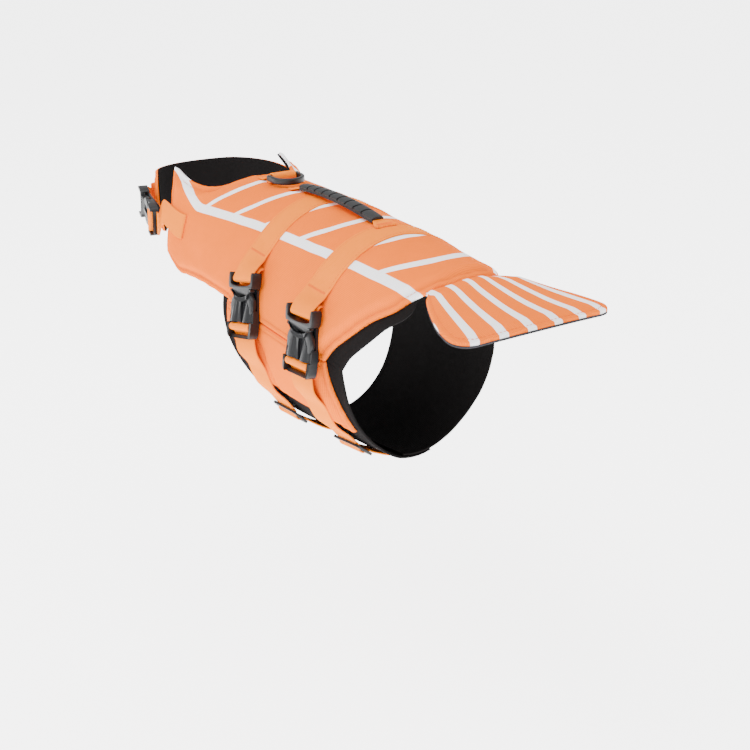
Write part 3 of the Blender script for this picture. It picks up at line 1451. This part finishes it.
for which in ("front", "rear"):
    make_slider(which)
    make_webbing("strap_band_" + which, "strap_" + which, body_strap_path(which), BODY_STRAP)

# %% [markdown]
# The chest tab is sewn to the saddle with a box stitch and feeds the chest buckle. From the
# buckle's other end, webbing runs on to the chest panel.

# %% Webbing at the chest
TAB_END = (-190.5, 99.0)
TAB_FRONT = (-233.0, 119.0)


def downward(path):
    """The same path with every direction across turned to the same side."""
    return [(p, a if a[2] < 0 else -a) for p, a in path]


def make_chest_webbing():
    place = PLACES["chest"]
    across = across_of(place)
    lean = unit(np.array([TAB_FRONT[1] - TAB_END[1], TAB_END[0] - TAB_FRONT[0]]))
    path = []
    for k in range(9):
        y, s = (a + (b - a) * k / 8 for a, b in zip(TAB_END, TAB_FRONT))
        lift = WEB_SEAT + WEB / 2 + (0.7 if k == 8 else 0.0)
        side = skin(y + lean[0], s + lean[1], lift) - skin(y - lean[0], s - lean[1], lift)
        path.append((skin(y, s, lift), side))
    path += [(at(place, 0, y, z), across) for y, z in ((-3.5, 1.4), (1.0, 1.6), (4.2, 1.8))]
    path += loop_round(place, LADDER_BAR, LADDER_HIGH, LOOP, *FEED_LOOP)
    make_webbing("chest_tab_band", "chest_tab", downward(path), SMALL_STRAP)
    far = loop_round(place, MALE_BAR, BUCKLE_THICK / 2 - 0.1, LOOP, 262, 75)
    panel = []
    for k in range(6):
        turn = 0.16 + 0.05 * k
        up = chest_point(turn, 0.40, 0) - chest_point(turn, 0.50, 0)
        panel.append((chest_point(turn, 0.47, PAD_BASE + CHEST_PAD + 0.3 + WEB / 2), up))
    far += [(at(place, 0, MALE_BAR + out, high), across) for out, high in ((4.0, 6.6), (8.0, 4.4))]
    first, last = far[-1], panel[0]
    between_them = [(first[0] + (last[0] - first[0]) * k / 5,
                     unit(first[1]) + (-unit(last[1]) - unit(first[1])) * k / 5)
                    for k in range(1, 5)]
    make_webbing("chest_strap_band", "chest_webbing", downward(far + between_them + panel),
                 SMALL_STRAP)


make_chest_webbing()

# %% [markdown]
# The grab handle is webbing run through a moulded rubber grip: a channel bent to an arch,
# crowned on top, with a row of slots for the fingers. The leash ring in front of it hangs in
# a tab of webbing, and it is the one part that turns, so it rides on its own body.

# %% The grip, its webbing, the leash ring and its tab
GRIP_FRONT = -84.0
GRIP_REAR = 45.0
GRIP_WIDE = 13.0
GRIP_THICK = 5.2
GRIP_ARCH = 3.9
GRIP_HIGH = 16.2
CORE_WIDE = 9.6
CORE_THICK = 1.6
GRIP_CROWN = 2.0
GRIP_SLICES = 44         # cross sections that let the straight channel bend to an arch
GRIP_SLOTS = 8
SLOT_INSET = 17.0        # from the grip's ends to the first and the last slot
SLOT_HALF = 1.0
RIGHTWARD = np.array([1.0, 0.0, 0.0])
HANDLE_BASE = (
    # distance out from the grip's end, lift, width, share on the body
    (14.5, 0.0, 20.0, 1.0), (10.5, 0.0, 20.0, 1.0), (7.0, 1.0, 18.0, 0.8), (3.0, 0.0, 13.0, 0.0),
)
RING_Y = -127.0
RING_HIGH = 12.7
RING_HALF = 16.5
RING_WALL = 3.8
RING_BAR = 2.6
RING_TALL = 6.0
RING_LONG = 25.0
TAB_LONG = 30.0


def grip_height(y):
    middle = (GRIP_FRONT + GRIP_REAR) / 2
    return GRIP_HIGH - GRIP_ARCH * ((y - middle) / (GRIP_REAR - middle)) ** 2


def make_grip():
    half, high = GRIP_WIDE / 2, GRIP_THICK / 2
    inner = CORE_WIDE / 2 + 0.4
    roof = -high + CORE_THICK + 1.0
    crown = arc(0, high - GRIP_CROWN, half, GRIP_CROWN, 0, 180, 15)
    outline = [(-inner, roof), (-inner, -high), (-half - 0.2, -high), (-half - 0.2, -high + 1.1),
               (-half + 0.3, -high + 1.6), *reversed(crown), (half - 0.3, -high + 1.6),
               (half + 0.2, -high + 1.1), (half + 0.2, -high), (inner, -high), (inner, roof)]
    bar = plate(outline, 0.0, GRIP_REAR - GRIP_FRONT)
    bpy.ops.object.mode_set(mode="EDIT")
    for k in range(1, GRIP_SLICES):
        spot = (GRIP_REAR - GRIP_FRONT) * k / GRIP_SLICES
        bpy.ops.mesh.select_all(action="SELECT")
        bpy.ops.mesh.bisect(plane_co=(0, 0, spot), plane_no=(0, 0, 1))
    bpy.ops.object.mode_set(mode="OBJECT")
    for vert in bar.data.vertices:
        x, z, along = vert.co
        y = GRIP_FRONT + along
        slope = (grip_height(y + 1) - grip_height(y - 1)) / 2
        end = min(y - GRIP_FRONT, GRIP_REAR - y)
        slim = 1 - 0.10 * math.exp(-end / 5)
        up = Vector((0, -slope, 1)).normalized()
        vert.co = Vector((x * slim, y, grip_height(y))) + up * (z * slim if z > 0 else z)
    slots = []
    for k in range(GRIP_SLOTS):
        y = GRIP_FRONT + SLOT_INSET
        y += (GRIP_REAR - GRIP_FRONT - 2 * SLOT_INSET) * k / (GRIP_SLOTS - 1)
        round_end = arc(-3.6, y, SLOT_HALF, SLOT_HALF, 90, 270, 8)
        slots.append(plate([*round_end, (half + 2, y - SLOT_HALF), (half + 2, y + SLOT_HALF)],
                           grip_height(y) - 0.4, grip_height(y) + 6))
    pick_only(bar)
    bpy.ops.object.mode_set(mode="EDIT")
    faces_out()
    shape_by(bar, "DIFFERENCE", slots)
    eased(bar, 0.4, 2, 40.0)
    set_in_place(bar, "grip_moulding", Matrix.Identity(4), "handle_grip", GRIP_RUBBER)


def make_handle_webbing():
    low = -GRIP_THICK / 2 + CORE_THICK / 2 + 0.5

    def inside(y):
        return np.array([0.0, y, grip_height(y) + low])

    def base(end, sign, lie):
        rows = []
        for out, lift, wide, on in HANDLE_BASE:
            y = end + sign * out
            seat = skin(y, 0.0, WEB_SEAT + CORE_THICK / 2 + lift + lie)
            rows.append(((inside(y) + (seat - inside(y)) * on, RIGHTWARD), wide))
        return rows

    middle = [((inside(y), RIGHTWARD), CORE_WIDE)
              for y in np.linspace(GRIP_FRONT + 1, GRIP_REAR - 1, 17)]
    rows = base(GRIP_FRONT, -1, 0.0) + middle + list(reversed(base(GRIP_REAR, 1, WEB + 0.2)))
    make_webbing("handle_band", "handle_webbing", [row[0] for row in rows], 20.0,
                 CORE_THICK, [row[1] for row in rows])


def make_ring():
    """A D: round bar in the tab's loop, bow lying back toward the handle."""
    inner, middle = RING_HALF - RING_WALL, RING_HALF - RING_WALL / 2
    straight, high = RING_LONG - RING_HALF + 1.0, RING_TALL / 2
    outline = [(RING_HALF, 0.0), *arc(0, straight, RING_HALF, RING_HALF - 1, 0, 180, 28),
               (-RING_HALF, 0.0), (-inner, 0.0),
               *arc(0, straight, inner, RING_HALF - 1 - RING_WALL, 180, 0, 28), (inner, 0.0)]
    bow = eased(plate(outline, -high, high), 1.1, 3)
    parts = []
    for x, long, radius in ((0.0, 2 * inner + 2, RING_BAR), (middle, RING_WALL, high),
                            (-middle, RING_WALL, high)):
        pick_only()
        bpy.ops.mesh.primitive_cylinder_add(vertices=28, radius=radius, depth=long)
        turn = Matrix.Rotation(math.pi / 2, 4, "Y")
        bpy.context.object.data.transform(Matrix.Translation((x, 0, 0)) @ turn)
        parts.append(eased(bpy.context.object, 0.5, 2, 60.0))
    place = Matrix.Translation((0, RING_Y * MM, RING_HIGH * MM))
    set_in_place(shape_by(bow, "UNION", parts), "ring_moulding", place, "leash_ring", body="ring")


def make_ring_tab():
    radius = RING_BAR + 0.45 + WEB / 2

    def seat(y, lift=0.0):
        return skin(y, 0.0, WEB_SEAT + WEB / 2 + lift), RIGHTWARD

    loop = [(np.array([0, RING_Y + radius * math.cos(t), RING_HIGH + radius * math.sin(t)]),
             RIGHTWARD) for t in np.radians(np.arange(110, -110, -18))]
    path = [seat(RING_Y - TAB_LONG), seat(RING_Y - TAB_LONG + 8), seat(RING_Y - 16, 1.7),
            seat(RING_Y - 12, 3.4), seat(RING_Y - 7, 5.6), *loop, seat(RING_Y - 4, 0.1),
            seat(RING_Y - 8), seat(RING_Y - 11)]
    make_webbing("ring_tab_band", "ring_tab", path, SMALL_STRAP)


make_grip()
make_handle_webbing()
make_ring()
make_ring_tab()

# %% [markdown]
# Every seam is held by lockstitches, about 3 mm apart. One stitch is modelled as a small ball drawn
# out to a thread that dives into the cloth at both ends. It is then copied along each line of
# sewing, each row as one mesh, so that thousands of stitches stay a handful of pieces.

# %% Sewing
STITCH_PITCH = 3.2
STITCH_LONG = 2.5
STITCH_THICK = 0.6
STITCH_LIFT = 0.12       # off the cloth of a pad


def one_stitch():
    """Points and faces of a stitch that lies along X, its thread across Y and Z."""
    pick_only()
    bpy.ops.mesh.primitive_uv_sphere_add(segments=6, ring_count=5, radius=0.5)
    shape = bpy.context.object
    points = np.array([vert.co[:] for vert in shape.data.vertices])[:, [2, 0, 1]]
    faces = [tuple(face.vertices) for face in shape.data.polygons]
    bpy.data.objects.remove(shape)
    return points * (STITCH_LONG, STITCH_THICK, STITCH_THICK), faces


STITCH_POINTS, STITCH_FACES = one_stitch()


def sew(name, rows, finish):
    """Stitches at rows of (points, directions along the thread, directions up)."""
    points, alongs, ups = (np.concatenate([row[i] for row in rows]) for i in range(3))
    alongs = unit(alongs)
    ups = unit(ups - alongs * np.sum(ups * alongs, axis=1)[:, None])
    sides = np.cross(ups, alongs)
    shape, count = STITCH_POINTS[None], len(STITCH_POINTS)
    all_points = (points[:, None] + shape[..., :1] * alongs[:, None]
                  + shape[..., 1:2] * sides[:, None] + shape[..., 2:] * ups[:, None])
    faces = [tuple(i + k * count for i in face)
             for k in range(len(points)) for face in STITCH_FACES]
    mesh = bpy.data.meshes.new(name)
    mesh.from_pydata((all_points.reshape(-1, 3) * MM).tolist(), [], faces)
    mesh.uv_layers.new(name="UVMap")
    mesh.shade_smooth()
    thread = bpy.data.objects.new(name, mesh)
    bpy.context.collection.objects.link(thread)
    dress(thread, finish)
    print(name, len(points), "stitches")


def follow(values, reach, where):
    """Rows of values known at the distances reach, read at other distances."""
    return np.stack([np.interp(where, reach, column) for column in values.T], -1)


def spread(points, broken=6.0):
    """Evenly spaced (points, steps) along a line; a gap wider than broken parts it."""
    breaks = np.nonzero(np.linalg.norm(np.diff(points, axis=0), axis=1) > broken)[0] + 1
    spots, steps = [], []
    for run in np.split(points, breaks):
        if len(run) < 3:
            continue
        far = lengths_along(run)
        at_far = np.arange(STITCH_PITCH / 2, far[-1], STITCH_PITCH)
        spots.append(follow(run, far, at_far))
        steps.append(follow(run, far, at_far + 0.8) - follow(run, far, at_far - 0.8))
    return np.concatenate(spots), np.concatenate(steps)


def row_on_cut(line, top, sign=1):
    """A row of stitches along a line of (y, s) on a pad whose height is top(y, s)."""
    spots, steps = spread(line)

    def lifted(cut):
        return skin(cut[:, 0], sign * cut[:, 1], top(cut[:, 0], cut[:, 1]) + STITCH_LIFT)

    ups = outward(spots[:, 0], angle_at(spots[:, 0], sign * spots[:, 1]))
    return lifted(spots), lifted(spots + steps / 2) - lifted(spots - steps / 2), ups


def inside_border(border, far):
    """The border moved in by far, without the points that would come too near it."""
    step = np.roll(border, -1, axis=0) - np.roll(border, 1, axis=0)
    normal = np.stack([step[:, 1], -step[:, 0]], -1) / np.linalg.norm(step, axis=1, keepdims=True)
    both = [border + sign * normal * far for sign in (1, -1)]
    middle = border.mean(axis=0)
    inner = min(both, key=lambda line: float(np.linalg.norm(line - middle, axis=1).mean()))
    return inner[edge_gap(inner[:, 0], inner[:, 1], border) > far - 0.35]


def make_pad_stitches():
    saddle_line = inside_border(border_of(saddle_place, 240), SEAM)
    sew("saddle_stitches", [row_on_cut(saddle_line, saddle_top)], ORANGE_THREAD)
    girth_line = inside_border(border_of(girth_place, 160), SEAM)
    s_line = np.linspace(LOW_EDGE + 8, GIRTH_END - 8, 60)
    groove = np.stack([smooth(GROOVE, 1, s_line), s_line], -1)
    for side, sign in SIDES:
        def top(y, s):
            return girth_top(y, s, sign)

        lines = [line[strap_press(line[:, 0], sign * line[:, 1]) < 0.3]
                 for line in (girth_line, groove)]
        rows = [row_on_cut(line, top, sign) for line in lines if len(line) > 3]
        sew("girth_stitches_" + side, rows, ORANGE_THREAD)


def make_fin_stitches():
    """Down the fin's right side, round its corner, along its end and back up the left."""
    rim, end, corner = 1 - TAIL_SEAM / TAIL_HALF, 1 - TAIL_SEAM / TAIL_LONG, 0.12
    side = [(rim, b) for b in np.linspace(corner, end - corner, 40)]
    side += [(rim - 0.10 * (1 - math.cos(t)), end - corner * (1 - math.sin(t)))
             for t in np.linspace(0, math.pi / 2, 12)]
    half = np.array(side + [(a, end) for a in np.linspace(rim - corner, 0, 40)])
    across, back = np.concatenate([half, (half * (-1, 1))[::-1]]).T
    spots, steps = spread(tail_point(across, back, tail_lift(across, back) + STITCH_LIFT))
    ups = np.tile([0.0, 0.0, 1.0], (len(spots), 1))
    sew("fin_stitches", [(spots, steps, ups)], ORANGE_THREAD)


def make_chest_stitches():
    inset, far_in = SEAM / CHEST_LONG, SEAM / CHEST_TALL
    t, d = np.linspace(inset, 1 - inset, 200), np.linspace(far_in, 1 - far_in, 50)
    middle = np.array([0.0, CHEST_MIDDLE_Y, 0.0])
    high = PAD_BASE + CHEST_FULL * fullness(SEAM, CHEST_PAD) + STITCH_LIFT
    rows = []
    for turns, downs in ((t, 0 * t + far_in), (t, 0 * t + 1 - far_in), (0 * d + inset, d),
                         (0 * d + 1 - inset, d)):
        spots, steps = spread(chest_point(turns, downs, high + 0 * turns))
        rows.append((spots, steps, (spots - middle) * (1, 1, 0.1)))
    sew("chest_stitches", rows, ORANGE_THREAD)


make_pad_stitches()
make_fin_stitches()
make_chest_stitches()


# %% Sewing on the webbing
WEB_INSET = 2.6          # from the webbing's edge to the stitches
TACK_PITCH = 0.95
HANDLE_TACK = 7.6        # half the width of a bartack on the handle
HANDLE_TACKS = (2.2, 4.6)    # from the handle's ends to its bartacks
CHEST_TAB_BOX = (3.0, 25.0)  # from the sewn end to both ends of the box
CHEST_STRAP_BOX = (30.0, 3.0)
RING_TAB_BOX = (2.5, 15.0)


def on_band(name, far, aside):
    """Points on a band's outer face, directions along it, off it and across it."""
    middles, acrosses, ups, reach, thick = BANDS[name]
    far, aside = np.broadcast_arrays(np.asarray(far, float), np.asarray(aside, float))

    middle, side, up = (follow(values, reach, far) for values in (middles, acrosses, ups))
    along = follow(middles, reach, far + 1) - follow(middles, reach, far - 1)
    return middle + side * aside[:, None] + up * (thick / 2 + 0.02), along, up, side


def nearest_far(name, point):
    middles, _, _, reach, _ = BANDS[name]
    return float(reach[np.argmin(np.linalg.norm(middles - point, axis=1))])


def lengthwise(name, start, end, aside):
    return on_band(name, np.arange(start, end, STITCH_PITCH), aside)[:3]


def crosswise(name, far, half):
    aside = np.arange(-half, half + 0.1, STITCH_PITCH * 0.9)
    spots, _, ups, sides = on_band(name, far, aside)
    return spots, sides, ups


def bartack(name, far, half):
    """Dense stitches side by side, across the band."""
    return on_band(name, far, np.arange(-half, half + 0.1, TACK_PITCH))[:3]


def crossed_box(name, start, end, half=SMALL_STRAP / 2 - WEB_INSET):
    """The rectangle with a cross in it that holds an end of webbing."""
    count = round(math.hypot(end - start, 2 * half) / STITCH_PITCH)
    share = np.linspace(0.06, 0.94, count)
    rows = [lengthwise(name, start, end, side) for side in (-half, half)]
    rows += [crosswise(name, far, half) for far in (start, end)]
    for sign in (-1, 1):
        spots, alongs, ups, sides = on_band(name, start + (end - start) * share,
                                            sign * half * (2 * share - 1))
        rows.append((spots, unit(alongs) * (end - start) + unit(sides) * sign * 2 * half, ups))
    return rows


def make_webbing_stitches():
    rows = []
    for which in ("front", "rear"):
        name = "strap_band_" + which
        start = nearest_far(name, strap_station(which, BARTACK - 3)[0])
        stop = nearest_far(name, strap_station(which, -BARTACK)[0])
        edge = BODY_STRAP / 2 - WEB_INSET
        rows += [lengthwise(name, start + 6, stop, side) for side in (-edge, edge)]
        rows += [bartack(name, start, edge), bartack(name, stop, edge)]
    last, handle = (float(BANDS[name][3][-1]) for name in ("chest_strap_band", "handle_band"))
    rows += crossed_box("chest_tab_band", *CHEST_TAB_BOX)
    rows += crossed_box("chest_strap_band", *(last - far for far in CHEST_STRAP_BOX))
    rows += crossed_box("ring_tab_band", *RING_TAB_BOX)
    tacks = [*HANDLE_TACKS, *(handle - far for far in reversed(HANDLE_TACKS))]
    rows += [bartack("handle_band", far, HANDLE_TACK) for far in tacks]
    sew("webbing_stitches", rows, ORANGE_THREAD)


make_webbing_stitches()
